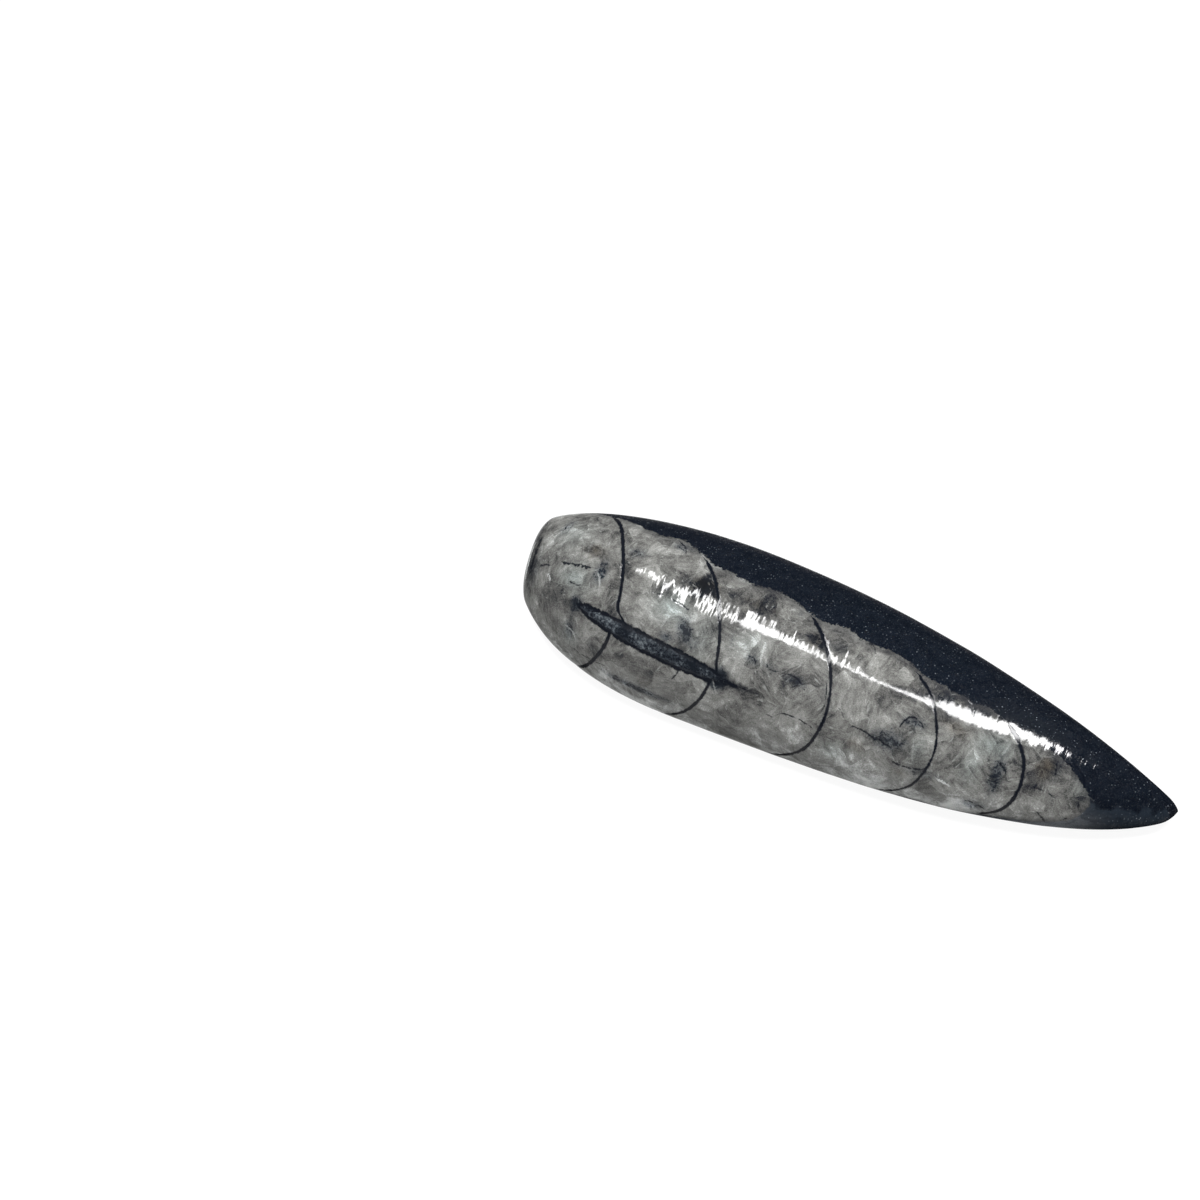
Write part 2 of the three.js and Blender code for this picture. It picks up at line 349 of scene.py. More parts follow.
def make_camera():
    back = Vector((
        math.sin(VIEW_AZIMUTH) * math.cos(VIEW_ELEVATION),
        -math.cos(VIEW_AZIMUTH) * math.cos(VIEW_ELEVATION),
        math.sin(VIEW_ELEVATION),
    ))
    data = bpy.data.cameras.new("camera")
    data.sensor_width = 36
    data.lens = LENS
    data.clip_start = 0.01
    camera = bpy.data.objects.new("camera", data)
    camera.location = VIEW_TARGET + VIEW_DISTANCE * back
    camera.rotation_euler = back.to_track_quat("Z", "Y").to_euler()
    bpy.context.scene.collection.objects.link(camera)
    bpy.context.scene.camera = camera


def make_area_light(name, place, rotation, size, radiance):
    data = bpy.data.lights.new(name, "AREA")
    data.shape = "RECTANGLE"
    data.size, data.size_y = size
    data.energy = radiance * math.pi * size[0] * size[1]
    light = bpy.data.objects.new(name, data)
    light.location = place
    light.rotation_euler = rotation
    bpy.context.scene.collection.objects.link(light)


def make_lights():
    runs = zip(LAMP_CORNERS, LAMP_CORNERS[1:], LAMP_WIDTHS)
    for number, (start, end, width) in enumerate(runs, start=1):
        if width == 0:
            continue
        run = Vector(end) - Vector(start)
        middle = (Vector(start) + Vector(end)) / 2
        place = Vector((*middle, LAMP_HEIGHT))
        rotation = Euler((0, 0, math.atan2(run.y, run.x)))
        make_area_light(f"lamp_{number}", place, rotation, (run.length, width), LAMP_RADIANCE)
    aim = FILL_PLACE.to_track_quat("Z", "Y").to_euler()
    make_area_light("fill", FILL_PLACE, aim, (FILL_SIZE, FILL_SIZE), FILL_RADIANCE)


def make_world():
    """Even soft light, brighter near the horizon so that the floor has no hard end."""
    world = bpy.data.worlds.new("studio")
    bpy.context.scene.world = world
    world.use_nodes = True
    nodes, links = world.node_tree.nodes, world.node_tree.links
    background = nodes["Background"]
    background.inputs["Color"].default_value = (*SKY_COLOUR, 1)
    direction = nodes.new("ShaderNodeTexCoord").outputs["Generated"]
    height = nodes.new("ShaderNodeSeparateXYZ")
    links.new(direction, height.inputs[0])
    glow = nodes.new("ShaderNodeMapRange")
    glow.interpolation_type = "SMOOTHSTEP"
    glow.inputs["From Min"].default_value = 0.0
    glow.inputs["From Max"].default_value = HORIZON_HEIGHT
    glow.inputs["To Min"].default_value = HORIZON_RADIANCE
    glow.inputs["To Max"].default_value = SKY_RADIANCE
    links.new(height.outputs["Z"], glow.inputs["Value"])
    links.new(glow.outputs["Result"], background.inputs["Strength"])


def make_floor():
    mesh = bpy.data.meshes.new("floor")
    half = FLOOR_SIZE / 2
    corners = [(-half, -half, 0), (half, -half, 0), (half, half, 0), (-half, half, 0)]
    mesh.from_pydata(corners, [], [(0, 1, 2, 3)])
    floor = bpy.data.objects.new("floor", mesh)
    bpy.context.scene.collection.objects.link(floor)
    material = bpy.data.materials.new("floor")
    material.use_nodes = True
    shader = material.node_tree.nodes["Principled BSDF"]
    shader.inputs["Base Color"].default_value = (*FLOOR_COLOUR, 1)
    shader.inputs["Emission Color"].default_value = (1, 1, 1, 1)
    shader.inputs["Emission Strength"].default_value = FLOOR_GLOW
    shader.inputs["Roughness"].default_value = FLOOR_ROUGHNESS
    shader.inputs["Specular IOR Level"].default_value = FLOOR_GLOSS
    mesh.materials.append(material)


# ---------------------------------------------------------------- the shell inside the stone


def shell_coordinates(points):
    """How far along the shell's axis each point is, and how far out from it."""
    axis = unit(SHELL_DIRECTION)
    across = unit(np.cross((0, 0, 1), axis))
    up = np.cross(axis, across)
    offset = points - SHELL_POINT
    a, b = offset @ across, offset @ up
    out = np.sqrt(np.maximum(a * a + (SHELL_FLATTENING * b) ** 2 + SHELL_TWIST * a * b, 0))
    return offset @ axis, out


def shell_radius(along):
    return SHELL_RADIUS - SHELL_TAPER * along


def into_dome(along, reach):
    """From 0 where the dome begins to 1 at its top, the reach, and below 0 behind the dome."""
    return (along - reach) / (DOME_DEPTH * shell_radius(reach)) + 1


def dome_level(points, reach, pinch_before=None):
    """Zero on a chamber's skin, negative inside: a cone that ends in a dome at the reach."""
    along, out = shell_coordinates(points)
    radius = shell_radius(along)
    if pinch_before is not None:
        share = np.clip((along - pinch_before) / (reach - pinch_before), 0, 1)
        swelling = CHAMBER_BULGE * np.sin(math.pi * share ** CHAMBER_SKEW)
        radius = radius * (1 - CHAMBER_PINCH + swelling)
    return np.sqrt((out / radius) ** 2 + np.maximum(into_dome(along, reach), 0) ** 2) - 1


def behind_dome(points, reach):
    """From 0 on the dome that ends at the reach to 1 beside the chamber behind it."""
    along, _ = shell_coordinates(points)
    return smooth_step(into_dome(along, reach), *SEPTUM_ENDS)


def as_distance(level, points, *arguments):
    """Turns a level function into a signed distance in millimetres by its own slope."""
    step, least_slope = 0.01, 1e-3
    slopes = [
        (level(points + step * axis, *arguments) - level(points - step * axis, *arguments))
        / (2 * step)
        for axis in np.eye(3)
    ]
    return level(points, *arguments) / (np.sqrt(sum(s * s for s in slopes)) + least_slope)


# ---------------------------------------------------------------- markings on the skin


def skin_places(points):
    """Run, turn in degrees and distance from the middle line, for points on the skin."""
    x, y, z = points.T
    height = z - MIDDLE_HEIGHT
    turn = np.degrees(np.arctan2(height, -y))
    return x, np.where(turn < -90, turn + 360, turn), np.hypot(y, height)


def below_edge(run, turn, radius, edge):
    """How far below an edge each point is, measured round the skin."""
    return np.radians(curve_at(run, edge) - turn) * radius


def tube_distance(run, turn, radius):
    """Signed distance from the siphuncle's outline, negative inside, and which side is up."""
    runs, turns, half_widths = np.transpose(TUBE)
    aside = np.radians(turn - np.interp(run, runs, turns)) * radius
    return np.abs(aside) - np.interp(run, runs, half_widths, NO_TUBE, NO_TUBE), aside


def patch_field(run, turn, radius, patches):
    total = np.zeros(len(run))
    for middle_run, middle_turn, along, around, strength in patches:
        off_along = (run - middle_run) / along
        off_around = np.radians(turn - middle_turn) * radius / around
        total += strength * np.exp(-(off_along ** 2) - off_around ** 2)
    return total


def blade_field(run, turn, radius, blades):
    """The tones of the straight-edged crystals, each of them 0 outside its corners."""
    total = np.zeros(len(run))
    for tone, *corners in blades:
        edges = list(zip(corners, corners[1:] + corners[:1]))
        area = sum(start[0] * end[1] - end[0] * start[1] for start, end in edges)
        inside = np.full(len(run), FAR)
        for (run_0, turn_0), (run_1, turn_1) in edges:
            edge_along, edge_around = run_1 - run_0, np.radians(turn_1 - turn_0) * radius
            off = np.radians(turn - turn_0) * radius * edge_along - (run - run_0) * edge_around
            off = off / np.hypot(edge_along, edge_around) * math.copysign(1, area)
            inside = np.minimum(inside, off)
        total += tone * smooth_step(inside, *BLADE_EDGE)
    return total


def line_fields(run, turn, radius, lines):
    """Signed distance to the widest line near each point, and its width, 0 away from lines."""
    side = np.full(len(run), FAR)
    width = np.zeros(len(run))
    for run_0, turn_0, run_1, turn_1, bend, line_width in lines:
        ahead, around = run - run_0, np.radians(turn - turn_0) * radius
        line_ahead, line_around = run_1 - run_0, np.radians(turn_1 - turn_0) * radius
        length = np.hypot(line_ahead, line_around)
        share = (ahead * line_ahead + around * line_around) / length ** 2
        off = (around * line_ahead - ahead * line_around) / length
        off = off - 4 * bend * share * (1 - share)
        past_end = np.maximum(np.maximum(-share, share - 1), 0) * length
        here = line_width * (1 - smooth_step(past_end, *LINE_ENDS))
        here = here * (1 - smooth_step(np.abs(off), *LINE_REACH))
        wider = here > width
        side[wider], width[wider] = off[wider], here[wider]
    return side, width


def septum_distance(points, reach, bend, at_tube):
    """Distance from a septum, which leans toward the tip by its bend where it meets the tube."""
    near = points - bend * at_tube[:, None] * unit(SHELL_DIRECTION)
    return as_distance(dome_level, near, reach) * (1 + SEPTUM_NARROWING * behind_dome(near, reach))


def shell_fields(points):
    """What the material needs to know at each point. Distances and heights are in millimetres."""
    wave = [noise_at(points, SHELL_WAVE_LENGTH, seed) for seed in (1, 2, 3)]
    wavy = points + SHELL_WAVE_HEIGHT * np.stack(wave, axis=1)
    skin_place = skin_places(points)
    run = skin_place[0]
    tube, tube_side = tube_distance(*skin_place)

    reaches = (*SEPTA, SHELL_END)
    before = (None, *SEPTA)
    chambers = [as_distance(dome_level, wavy, *ends) for ends in zip(reaches, before)]
    shell = np.minimum.reduce(chambers) - patch_field(*skin_place, SKIN_SHIFTS)
    below = below_edge(*skin_place, LOWER_EDGE)
    above = -below_edge(*skin_place, UPPER_EDGE)
    fields = {"shell_skin": np.maximum.reduce([shell, below, above]), "siphuncle": tube}

    at_tube = np.exp(-((np.maximum(tube, 0) / NECK_REACH) ** 2))
    at_tube = at_tube * smooth_step(tube_side, *NECK_SIDE)
    for number, (reach, bend) in enumerate(zip(SEPTA, NECK_BENDS), start=1):
        fields[f"septum_{number}"] = septum_distance(wavy, reach, bend, at_tube)

    fields["run"] = run
    # How far below the upper edge of the band of painted floor reflection each point is
    fields["band"] = below_edge(*skin_place, FLOOR_REFLECTION_EDGE)
    fields["ripple"] = curve_at(run, RIPPLES)
    fields["hatch"] = curve_at(run, HATCH)
    fields["polish"] = patch_field(*skin_place, POLISHED_PATCHES)
    # The tone includes painted light low on the front flank, besides the calcite's own broad tones
    fields["tone"] = TONE_SHIFT + patch_field(*skin_place, TONES_AND_PAINTED_LIGHT)
    fields["tone"] += blade_field(*skin_place, BLADES)
    fields["dark_patch"] = patch_field(*skin_place, DARK_PATCHES)
    fields["brown_patch"] = patch_field(*skin_place, BROWN_PATCHES)
    fields["pale_patch"] = patch_field(*skin_place, PALE_PATCHES)
    fields["crack_side"], fields["crack_width"] = line_fields(*skin_place, CRACKS)
    fields["vein_side"], fields["vein_width"] = line_fields(*skin_place, VEINS)
    return fields


# ---------------------------------------------------------------- the stone's mesh


def make_stone():
    """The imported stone, with its triangles joined to faces of four sides and rounded."""
    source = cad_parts["fossil_stone"]
    mesh = source.data.copy()
    mesh.materials.clear()
    stone = bpy.data.objects.new("polished_stone", mesh)
    bpy.context.scene.collection.objects.link(stone)

    edit = bmesh.new()
    edit.from_mesh(mesh)
    bmesh.ops.remove_doubles(edit, verts=edit.verts, dist=MERGE_DISTANCE)
    bmesh.ops.join_triangles(
        edit, faces=edit.faces, angle_face_threshold=LARGEST_JOIN_ANGLE,
        angle_shape_threshold=LARGEST_JOIN_SKEW,
    )
    crease = edit.edges.layers.float.new("crease_edge")
    for edge in edit.edges:
        if edge.calc_face_angle(0) > CREASE_FROM:
            edge[crease] = CREASE
    edit.to_mesh(mesh)
    edit.free()

    subdivision = stone.modifiers.new("subdivision", "SUBSURF")
    subdivision.levels = subdivision.render_levels = SUBDIVISIONS
    evaluated = stone.evaluated_get(bpy.context.evaluated_depsgraph_get())
    fine = bpy.data.meshes.new_from_object(evaluated)
    stone.modifiers.clear()
    stone.data = fine
    fine.name = "polished_stone"
    for attribute in [a.name for a in fine.attributes if a.name.startswith("custom_normal")]:
        fine.attributes.remove(fine.attributes[attribute])
    fine.shade_smooth()
    return stone


def read_vectors(collection, name):
    values = np.empty(len(collection) * 3, np.float32)
    collection.foreach_get(name, values)
    return values.reshape(-1, 3).astype(float)


def shape_surface(stone):
    """Gives the stone its slight relief, and each point what the material needs to know."""
    mesh = stone.data
    places = read_vectors(mesh.vertices, "co")
    normals = read_vectors(mesh.vertex_normals, "vector")
    points = places / MM
    fields = shell_fields(points)
    # How far the skin faces the blunt end's way, for the painted shade on its facet
    fields["end_face"] = -normals[:, 0]

    rise = sum(height * noise_at(points, length, seed) for height, length, seed in UNEVENNESS)
    inside = fields["shell_skin"] < 0
    for number in range(1, len(SEPTA) + 1):
        groove = np.exp(-((fields[f"septum_{number}"] / GROOVE_WIDTH) ** 2))
        rise = rise - GROOVE_DEPTH * groove * inside
    rise = rise - GROOVE_DEPTH * np.exp(-((fields["siphuncle"] / GROOVE_WIDTH) ** 2))
    above_base = smooth_step(points[:, 2], BASE_FLAT_TO, BASE_RELIEF_FROM)
    places += normals * (rise * above_base * MM)[:, None]
    mesh.vertices.foreach_set("co", places.astype(np.float32).ravel())

    for name, values in fields.items():
        attribute = mesh.attributes.new(name, "FLOAT", "POINT")
        attribute.data.foreach_set("value", values.astype(np.float32))
    mesh.update()


# ---------------------------------------------------------------- the stone's material


class Recipe:
    """A material made step by step. A step takes sockets or plain values and gives a socket."""

    def __init__(self, name):
        self.material = bpy.data.materials.new(name)
        self.material.use_nodes = True
        self.tree = self.material.node_tree
        self.shader = self.tree.nodes["Principled BSDF"]

    def node(self, kind, **settings):
        node = self.tree.nodes.new("ShaderNode" + kind)
        for name, value in settings.items():
            setattr(node, name, value)
        return node

    def fill(self, socket, value):
        if isinstance(value, bpy.types.NodeSocket):
            self.tree.links.new(value, socket)
        elif isinstance(value, tuple) and socket.type == "RGBA":
            socket.default_value = (*value, 1)
        else:
            socket.default_value = value

    def fill_all(self, node, **values):
        """Fills a node's inputs by name, with _ for each space."""
        for name, value in values.items():
            self.fill(node.inputs[name.replace("_", " ")], value)

    def math(self, operation, *values):
        node = self.node("Math", operation=operation)
        for socket, value in zip(node.inputs, values):
            self.fill(socket, value)
        return node.outputs[0]

    def add(self, first, second):
        return self.math("ADD", first, second)

    def less(self, first, second):
        return self.math("SUBTRACT", first, second)

    def times(self, first, second):
        return self.math("MULTIPLY", first, second)

    def larger(self, first, second):
        return self.math("MAXIMUM", first, second)

    def absolute(self, value):
        return self.math("ABSOLUTE", value)

    def attribute(self, name):
        return self.node("Attribute", attribute_name=name).outputs["Fac"]

    def fade(self, value, low, high, start=0.0, end=1.0):
        """Smoothly from start, where the value is low, to end, where it is high."""
        node = self.node("MapRange", interpolation_type="SMOOTHSTEP")
        self.fill_all(node, Value=value, From_Min=low, From_Max=high, To_Min=start, To_Max=end)
        return node.outputs["Result"]

    def line(self, distance, half_width, softness=0.1):
        """1 on a line and 0 beside it, from the distance to its middle."""
        edge = self.less(self.absolute(distance), half_width)
        return self.fade(edge, -softness, softness, 1.0, 0.0)

    def blend(self, share, first, second, mode="MIX"):
        node = self.node("Mix", data_type="RGBA", blend_type=mode)
        self.fill(node.inputs["Factor"], share)
        colours = [socket for socket in node.inputs if socket.type == "RGBA"]
        self.fill(colours[0], first)
        self.fill(colours[1], second)
        return next(socket for socket in node.outputs if socket.type == "RGBA")

    def move(self, place, offset=(0, 0, 0), turn=(0, 0, 0), scale=(1, 1, 1)):
        node = self.node("Mapping")
        self.fill_all(node, Vector=place, Location=offset, Rotation=turn, Scale=scale)
        return node.outputs["Vector"]

    def clouds(self, place, size, detail=2.0, roughness=0.5, warp=0.0, seed=0):
        """Noise around 0.5, with features about this many millimetres across."""
        node = self.node("TexNoise")
        if seed:
            place = self.move(place, offset=(seed * 13.7, seed * 7.1, seed * 3.3))
        self.fill_all(
            node, Vector=place, Scale=1 / size, Detail=detail, Roughness=roughness,
            Distortion=warp,
        )
        return node.outputs["Fac"]

    def swing(self, place, size, **settings):
        """The same noise around 0."""
        return self.less(self.clouds(place, size, **settings), 0.5)

    def warped(self, place, size, amount, seed):
        """The place, shifted by noise."""
        node = self.node("TexNoise")
        moved = self.move(place, offset=(seed * 5.3, seed * 9.1, seed * 2.7))
        self.fill_all(node, Vector=moved, Scale=1 / size, Detail=2.0)
        shift = self.node("VectorMath", operation="MULTIPLY_ADD")
        self.tree.links.new(node.outputs["Color"], shift.inputs[0])
        shift.inputs[1].default_value = (amount, amount, amount)
        shift.inputs[2].default_value = (-amount / 2, -amount / 2, -amount / 2)
        total = self.node("VectorMath", operation="ADD")
        self.tree.links.new(place, total.inputs[0])
        self.tree.links.new(shift.outputs[0], total.inputs[1])
        return total.outputs[0]

    def cells(self, place, size, feature="F1"):
        node = self.node("TexVoronoi", feature=feature)
        self.fill_all(node, Vector=place, Scale=1 / size)
        return node

    def parts(self, colour):
        node = self.node("SeparateColor")
        self.fill(node.inputs[0], colour)
        return node.outputs

    def tint(self, value, stops):
        node = self.node("ValToRGB")
        ramp = node.color_ramp
        while len(ramp.elements) < len(stops):
            ramp.elements.new(0.5)
        for element, (position, colour) in zip(ramp.elements, stops):
            element.position = position
            element.color = (*colour, 1)
        self.fill(node.inputs["Fac"], value)
        return node.outputs["Color"]


def calcite_colour(recipe, place):
    """Calcite: crystals of different tones, with feathers and wisps in them, under clouds, with
    painted light low on the front flank and painted shade on the blunt end's facet.
    """
    bent = recipe.warped(place, 3.0, amount=1.1, seed=1)
    crystals = recipe.cells(bent, CRYSTAL_SIZE)
    less_bent = recipe.warped(place, 1.2, amount=0.4, seed=2)
    small_crystals = recipe.cells(less_bent, SMALL_CRYSTAL_SIZE)
    tone, angle, _ = recipe.parts(crystals.outputs["Color"])[:3]
    small_tone = recipe.parts(small_crystals.outputs["Color"])[0]

    spin = recipe.node("VectorRotate", rotation_type="AXIS_ANGLE")
    grain_turn = recipe.times(angle, GRAIN_TURN)
    recipe.fill_all(spin, Vector=bent, Axis=GRAIN_AXIS, Angle=grain_turn)
    grain = spin.outputs[0]
    long_grain = recipe.move(grain, scale=(0.13, 1, 1))
    short_grain = recipe.move(grain, scale=(0.35, 1, 1))

    # The tone attribute includes painted light low on the front flank
    level = recipe.add(0.5, recipe.attribute("tone"))
    for value, weight in (
        (recipe.clouds(place, 7.5, warp=0.6, seed=5), 1.2),
        (recipe.clouds(place, 2.4, detail=2.5, roughness=0.55, warp=0.8, seed=6), 0.7),
        (tone, 0.22),
        (small_tone, 0.08),
        (recipe.clouds(long_grain, 0.42, roughness=0.55, warp=0.25), 0.5),
        (recipe.clouds(short_grain, 1.6, detail=2.5, warp=1.0, seed=4), 0.5),
        (recipe.clouds(place, 0.15, detail=1.0, roughness=0.7, seed=7), 0.6),
    ):
        level = recipe.add(level, recipe.times(recipe.less(value, 0.5), weight))
    # Painted shade on the blunt end's facet, by which way the skin faces
    end_face = recipe.fade(recipe.attribute("end_face"), 0.9, 0.97, 0.0, END_FACE_PAINTED_SHADE)
    level = recipe.add(level, end_face)
    pale = recipe.attribute("pale_patch")
    level = recipe.add(level, recipe.times(pale, 0.16))
    colour = recipe.tint(recipe.times(level, 1 / CALCITE_RANGE), CALCITE_STOPS)
    colour = recipe.blend(pale, colour, PALE_TINT, "MULTIPLY")

    # Pale streaks along the grain, and pale seams between some of the crystals
    fine_grain = recipe.move(grain, scale=(0.1, 1, 1))
    streaks = recipe.clouds(fine_grain, 0.34, detail=1.0, warp=0.2, seed=14)
    streaks = recipe.fade(streaks, 0.6, 0.72)
    some = recipe.fade(recipe.clouds(place, 1.8, detail=1.0, seed=15), 0.48, 0.62)
    colour = recipe.blend(recipe.times(recipe.times(streaks, some), 0.3), colour, STREAK)
    seams = recipe.cells(bent, CRYSTAL_SIZE, "DISTANCE_TO_EDGE").outputs["Distance"]
    some = recipe.fade(recipe.clouds(place, 2.2, detail=1.0, seed=8), 0.5, 0.62)
    seam = recipe.times(recipe.line(seams, 0.0, 0.03), some)
    return recipe.blend(recipe.times(seam, 0.22), colour, SEAM)


def with_patches(recipe, colour, place):
    """Clear brown crystals, and dark stains with branches and ragged cores."""
    broad = recipe.swing(place, 1.4, seed=12)
    brown = recipe.add(recipe.attribute("brown_patch"), recipe.times(broad, 0.6))
    colour = recipe.blend(recipe.fade(brown, 0.25, 0.75, 0.0, 0.8), colour, BROWN_TINT, "MULTIPLY")

    field = recipe.attribute("dark_patch")
    ragged = recipe.warped(place, 0.9, amount=0.8, seed=9)
    ragged = recipe.swing(ragged, 0.6, detail=5.0, roughness=0.75, warp=0.6, seed=11)
    stain = recipe.fade(recipe.add(field, recipe.times(ragged, 1.6)), 0.1, 1.2)
    colour = recipe.blend(stain, colour, STAIN_TINT, "MULTIPLY")

    branch = recipe.warped(place, 0.7, amount=0.5, seed=10)
    branch = recipe.swing(branch, 1.0, detail=3.0, roughness=0.6, warp=0.8, seed=13)
    branches = recipe.line(branch, 0.008, 0.014)
    branches = recipe.times(branches, recipe.fade(field, 0.25, 0.7, 0.0, 0.6))
    core = recipe.add(recipe.times(field, 0.8), recipe.times(ragged, 3.4))
    core = recipe.fade(core, 0.7, 0.95)
    core = recipe.times(core, recipe.fade(field, 0.15, 0.45, 0.0, 0.92))
    return recipe.blend(recipe.larger(branches, core), colour, STAIN_CORE)


def floor_reflection_colour(recipe, band):
    """The band's painted reflection of the floor: lightest low down beside the shell, darkest at
    the tip.
    """
    start, full, until, end = FLOOR_REFLECTION_LIGHTEST
    run = recipe.attribute("run")
    low = recipe.times(recipe.fade(band, start, full), recipe.fade(band, until, end, 1.0, 0.0))
    low = recipe.times(low, recipe.fade(run, 25, 31))
    floor_reflection = recipe.blend(low, FLOOR_REFLECTION_BY_SHELL, FLOOR_REFLECTION_LOW)
    return recipe.blend(recipe.fade(run, 32, 42), floor_reflection, TIP_FLOOR_REFLECTION)


def matrix_colour(recipe, place):
    """Black limestone with fine grit, some larger pale specks and a streaked, painted reflection of
    the floor along the lower front of the tip, and where the specks are.
    """
    mottle = recipe.clouds(place, 1.6, detail=4.0, roughness=0.6, seed=21)
    colour = recipe.blend(recipe.fade(mottle, 0.35, 0.7), BLACK, MOTTLE)

    # The band of painted floor reflection, streaked and with a mottled edge
    band = recipe.times(recipe.less(mottle, 0.5), 3.0)
    band = recipe.add(recipe.attribute("band"), band)
    drawn_out = recipe.move(place, scale=(0.25, 1, 1))
    streaks = recipe.clouds(drawn_out, 0.6, detail=3.0, roughness=0.6, seed=24)
    streaks = recipe.fade(streaks, 0.3, 0.65, 0.6, 1.3)
    in_band = recipe.times(recipe.fade(band, -0.2, 0.45), streaks)
    colour = recipe.blend(in_band, colour, floor_reflection_colour(recipe, band))

    grit = recipe.fade(recipe.clouds(place, 0.16, roughness=0.8, seed=22), 0.5, 0.72)
    colour = recipe.blend(recipe.times(grit, 0.7), colour, GRIT)
    crowded = recipe.fade(recipe.clouds(place, 2.6, seed=23), 0.4, 0.6, 0.55, 1.1)
    specks = recipe.times(grit, 0.5)
    for size, radius, share, strength in SPECKS:
        cells = recipe.cells(place, size)
        chance = recipe.fade(recipe.parts(cells.outputs["Color"])[0], share, 1.0)
        dot = recipe.fade(cells.outputs["Distance"], radius * 0.4, radius * 1.6, 1.0, 0.0)
        speck = recipe.times(dot, chance)
        shade = recipe.times(speck, recipe.times(crowded, strength))
        colour = recipe.blend(shade, colour, SPECK)
        specks = recipe.larger(specks, speck)
    return colour, specks


def with_siphuncle(recipe, colour, place, wobble, fine_wobble):
    """The siphuncle's fill, its black wall and its tail, and where those two are."""
    run = recipe.attribute("run")
    tube = recipe.add(recipe.attribute("siphuncle"), recipe.times(fine_wobble, 0.3))
    before_tail = recipe.fade(run, *TUBE_END, 1.0, 0.0)

    broad = recipe.times(recipe.swing(place, 2.2, detail=1.0, seed=34), 0.5)
    grit = recipe.add(recipe.clouds(place, 0.4, detail=4.0, roughness=0.75, seed=33), broad)
    grit = recipe.less(grit, recipe.fade(run, -25, -17, 0.0, 0.06))
    off_neck = recipe.absolute(recipe.less(run, NECK_RUN))
    grit = recipe.less(grit, recipe.fade(off_neck, 0.3, 1.3, 0.16, 0.0))
    in_tube = recipe.times(recipe.fade(tube, -0.15, 0.05, 1.0, 0.0), before_tail)
    colour = recipe.blend(in_tube, colour, recipe.tint(grit, SIPHUNCLE_STOPS))

    wall = recipe.line(tube, recipe.add(TUBE_WALL, recipe.times(wobble, 0.75)), 0.13)
    wall = recipe.times(wall, before_tail)
    tail = recipe.times(recipe.fade(run, *TAIL_START), recipe.fade(run, *TAIL_END, 1.0, 0.0))
    soft_tube = recipe.fade(recipe.add(tube, wobble), -0.3, 0.35, 1.0, 0.0)
    wall = recipe.larger(wall, recipe.times(tail, soft_tube))
    return recipe.blend(wall, colour, BLACK), wall


def with_septa(recipe, colour, skin, wobble, fine_wobble):
    """Black lines of uneven width, inside the shell and outside the siphuncle."""
    in_shell = recipe.fade(skin, -0.05, 0.25, 1.0, 0.0)
    clear_of_tube = recipe.fade(recipe.attribute("siphuncle"), -0.15, 0.1)
    shown = recipe.times(in_shell, clear_of_tube)
    lines = 0.0
    for number, width in enumerate(SEPTUM_WIDTHS, start=1):
        distance = recipe.attribute(f"septum_{number}")
        distance = recipe.add(distance, recipe.times(fine_wobble, 0.22))
        half_width = recipe.add(width / 2, recipe.times(wobble, 0.35))
        line = recipe.times(recipe.line(distance, half_width), shown)
        colour = recipe.blend(line, colour, BLACK)
        lines = recipe.larger(lines, line)
    return colour, lines


def with_cracks(recipe, colour, place, wobble, fine_wobble):
    """Dark cracks, broken in places, in a faint haze; one of them is painted shade beside the
    lamp's highlight.
    """
    width = recipe.attribute("crack_width")
    side = recipe.add(recipe.attribute("crack_side"), recipe.times(wobble, 0.4))
    haze = recipe.line(side, 0.1, 0.9)
    haze = recipe.times(haze, recipe.fade(width, 0.0, 0.35, 0.0, 0.65))
    haze = recipe.times(haze, recipe.fade(wobble, -0.15, 0.15))
    colour = recipe.blend(haze, colour, CRACK_HAZE)

    half_width = recipe.times(width, recipe.add(0.7, recipe.times(fine_wobble, 2.0)))
    unbroken = recipe.clouds(place, 0.9, roughness=0.6, seed=35)
    unbroken = recipe.add(unbroken, recipe.times(width, 0.5))
    shown = recipe.times(recipe.fade(width, 0.02, 0.1), recipe.fade(unbroken, 0.46, 0.58))
    crack = recipe.times(recipe.line(side, half_width, 0.09), shown)
    return recipe.blend(recipe.times(crack, 0.92), colour, BLACK), crack


def with_veins(recipe, colour, wobble, fine_wobble):
    width = recipe.attribute("vein_width")
    side = recipe.add(recipe.attribute("vein_side"), recipe.times(wobble, 0.4))
    half_width = recipe.times(width, recipe.add(0.5, recipe.times(fine_wobble, 3.0)))
    vein = recipe.times(recipe.line(side, half_width), recipe.fade(width, 0.02, 0.5))
    return recipe.blend(vein, colour, VEIN)


def add_relief(recipe, place, lines, fine_wobble):
    """Ripples across the stone from polishing, fine grain, and hollows along every line."""
    height = recipe.times(lines, LINE_HOLLOW)
    for turn, seed in ((0.35, 41), (-0.4, 42)):
        across = recipe.move(place, turn=(0, 0, turn), scale=(1, 0.2, 0.2))
        ripples = recipe.clouds(across, 1.25, detail=1.0, roughness=0.4, seed=seed)
        height = recipe.add(height, recipe.times(ripples, recipe.attribute("ripple")))
    across = recipe.move(place, turn=(0, 0, 0.5), scale=(1, 0.16, 0.16))
    hatch = recipe.clouds(across, 0.5, detail=1.0, seed=43)
    height = recipe.add(height, recipe.times(hatch, recipe.attribute("hatch")))
    height = recipe.add(height, recipe.times(fine_wobble, FINE_GRAIN))
    bump = recipe.node("Bump")
    recipe.fill_all(bump, Distance=MM, Height=height)
    recipe.fill(recipe.shader.inputs["Normal"], bump.outputs["Normal"])


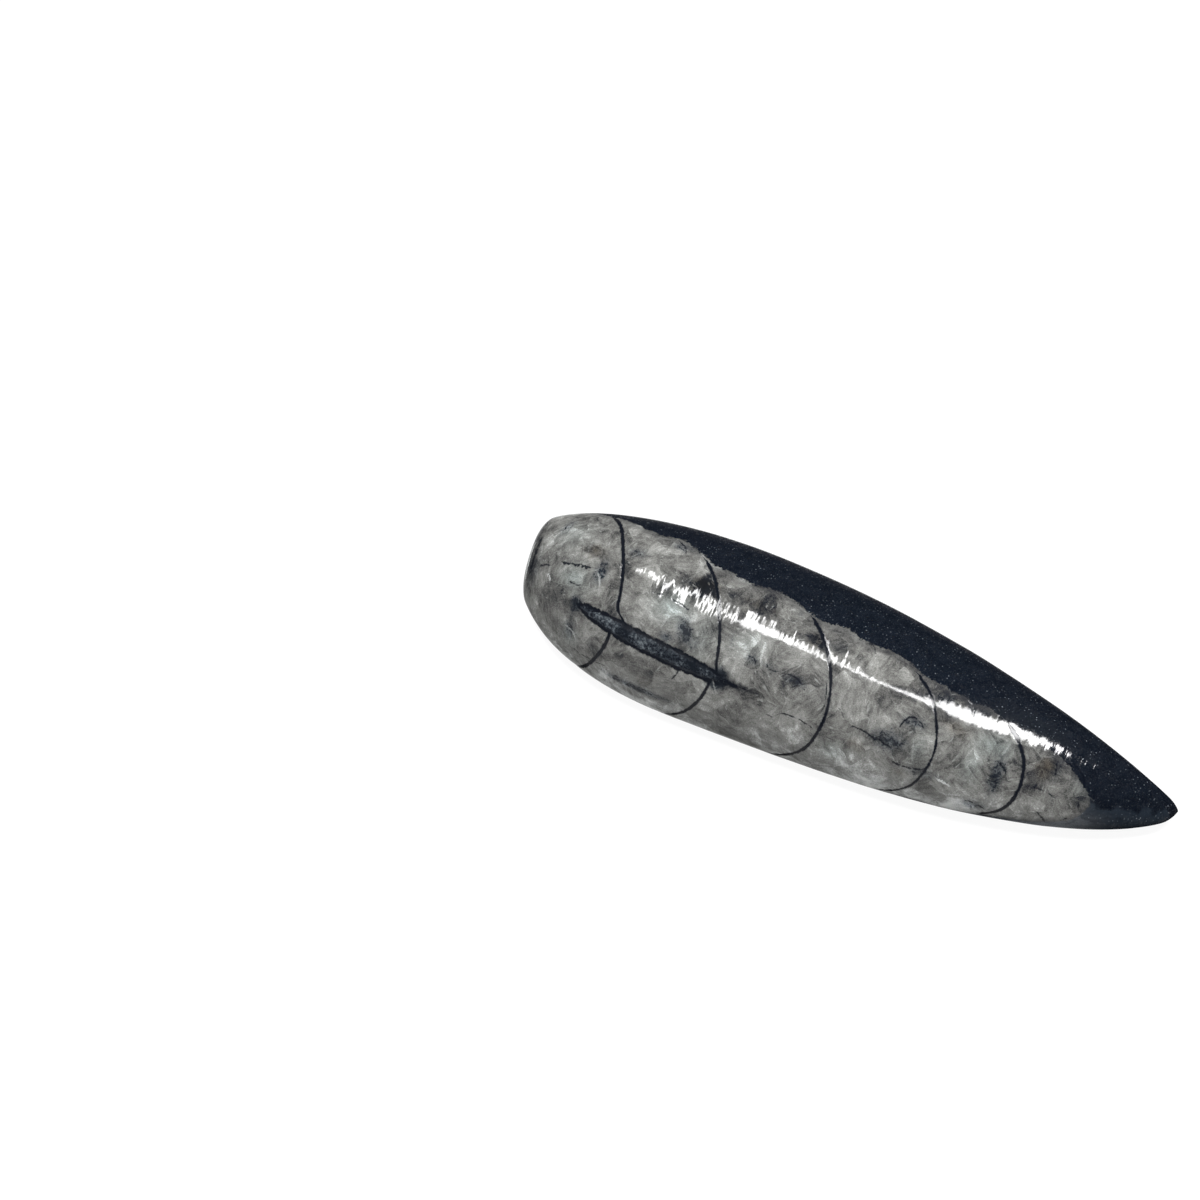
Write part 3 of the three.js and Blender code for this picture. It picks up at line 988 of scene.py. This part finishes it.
def add_gloss(recipe, outside, specks, lines, wobble, fine_wobble):
    """Glossy calcite and dull black limestone, both duller on lines and at a slant."""
    low, high = ROUGHNESS
    recipe.fill(recipe.shader.inputs["Roughness"], recipe.fade(wobble, -0.2, 0.2, low, high))
    ragged = recipe.times(recipe.add(wobble, fine_wobble), 2.0)
    polish = recipe.add(recipe.attribute("polish"), ragged)
    black = recipe.fade(polish, 0.3, 0.45, BLACK_GLOSS, POLISHED_GLOSS)
    black = recipe.add(black, recipe.times(specks, SPECK_GLOSS))
    gloss = recipe.fade(outside, 0.0, 1.0, CALCITE_GLOSS, black)
    slant = recipe.node("LayerWeight").outputs["Facing"]
    gloss = recipe.times(gloss, recipe.fade(slant, 0.25, 0.62, 1.0, SLANTED_GLOSS))
    gloss = recipe.times(gloss, recipe.less(1.0, recipe.times(lines, LINE_DULLING)))
    level = recipe.shader.inputs["Specular IOR Level"]
    level.default_value = PLAIN_GLOSS
    recipe.fill(level, gloss)


def stone_material():
    recipe = Recipe("polished_fossil_limestone")
    coordinates = recipe.node("TexCoord").outputs["Object"]
    place = recipe.move(coordinates, scale=(1 / MM, 1 / MM, 1 / MM))
    wobble = recipe.swing(place, 0.8, detail=3.0, roughness=0.6, seed=31)
    fine_wobble = recipe.swing(place, 0.3, roughness=0.6, seed=32)

    # Calcite inside the shell darkens where it thins out at the shell's edge
    ragged = recipe.add(recipe.times(wobble, 0.8), recipe.times(fine_wobble, 0.55))
    skin = recipe.add(recipe.attribute("shell_skin"), ragged)
    calcite = with_patches(recipe, calcite_colour(recipe, place), place)
    thinning = recipe.fade(skin, -1.1, -0.05, 0.0, 0.5)
    calcite = recipe.blend(thinning, calcite, THIN_CALCITE)
    outside = recipe.fade(skin, -0.1, 0.12)
    matrix, specks = matrix_colour(recipe, place)
    colour = recipe.blend(outside, calcite, matrix)

    colour, wall = with_siphuncle(recipe, colour, place, wobble, fine_wobble)
    colour, septa = with_septa(recipe, colour, skin, wobble, fine_wobble)
    colour, cracks = with_cracks(recipe, colour, place, wobble, fine_wobble)
    colour = with_veins(recipe, colour, wobble, fine_wobble)
    recipe.fill(recipe.shader.inputs["Base Color"], colour)

    lines = recipe.larger(recipe.larger(recipe.times(wall, 0.7), septa), cracks)
    add_relief(recipe, place, lines, fine_wobble)
    add_gloss(recipe, outside, specks, lines, wobble, fine_wobble)
    return recipe.material


bpy.context.scene.view_settings.view_transform = "Standard"
make_camera()
make_world()
make_floor()
make_lights()
stone = make_stone()
shape_surface(stone)
stone.data.materials.append(stone_material())
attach(stone, "root")
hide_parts("fossil_stone")
